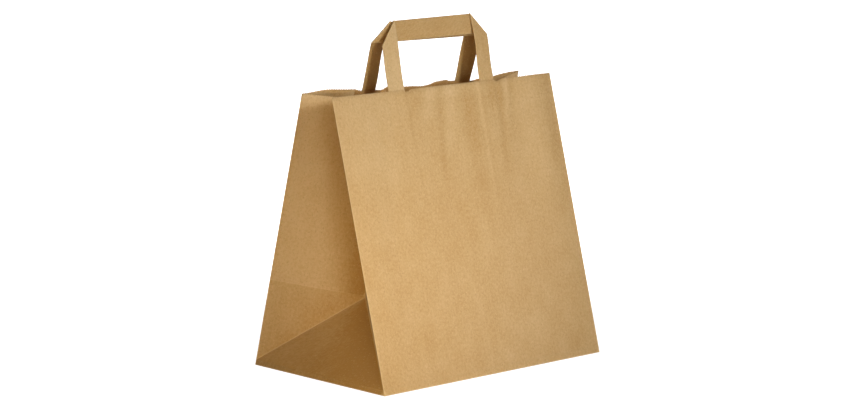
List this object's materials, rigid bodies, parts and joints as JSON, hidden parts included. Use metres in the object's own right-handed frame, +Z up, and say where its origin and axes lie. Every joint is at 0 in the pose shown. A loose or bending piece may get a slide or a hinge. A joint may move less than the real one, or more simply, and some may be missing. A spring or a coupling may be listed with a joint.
{
  "type": "paper carrier bag",
  "caption": "Brown kraft paper carrier bag standing open on a folded block bottom, with tucked side gussets and flat folded paper handles.",
  "frame": {"origin": "middle of the base, on the surface that the bag stands on", "axes": "+Z up, +X along the bag's width, +Y from the front panel to the rear panel"},
  "size_m": [0.26, 0.17, 0.3041],
  "materials": {
    "kraft_sheet": "matte",
    "handle_tape": "matte",
    "patch_sheet": "matte"
  },
  "bodies": {
    "root": {"bag_body": "kraft_sheet", "front_handle": "handle_tape", "rear_handle": "handle_tape", "front_handle_patch": "patch_sheet", "rear_handle_patch": "patch_sheet"}
  },
  "joints": []
}
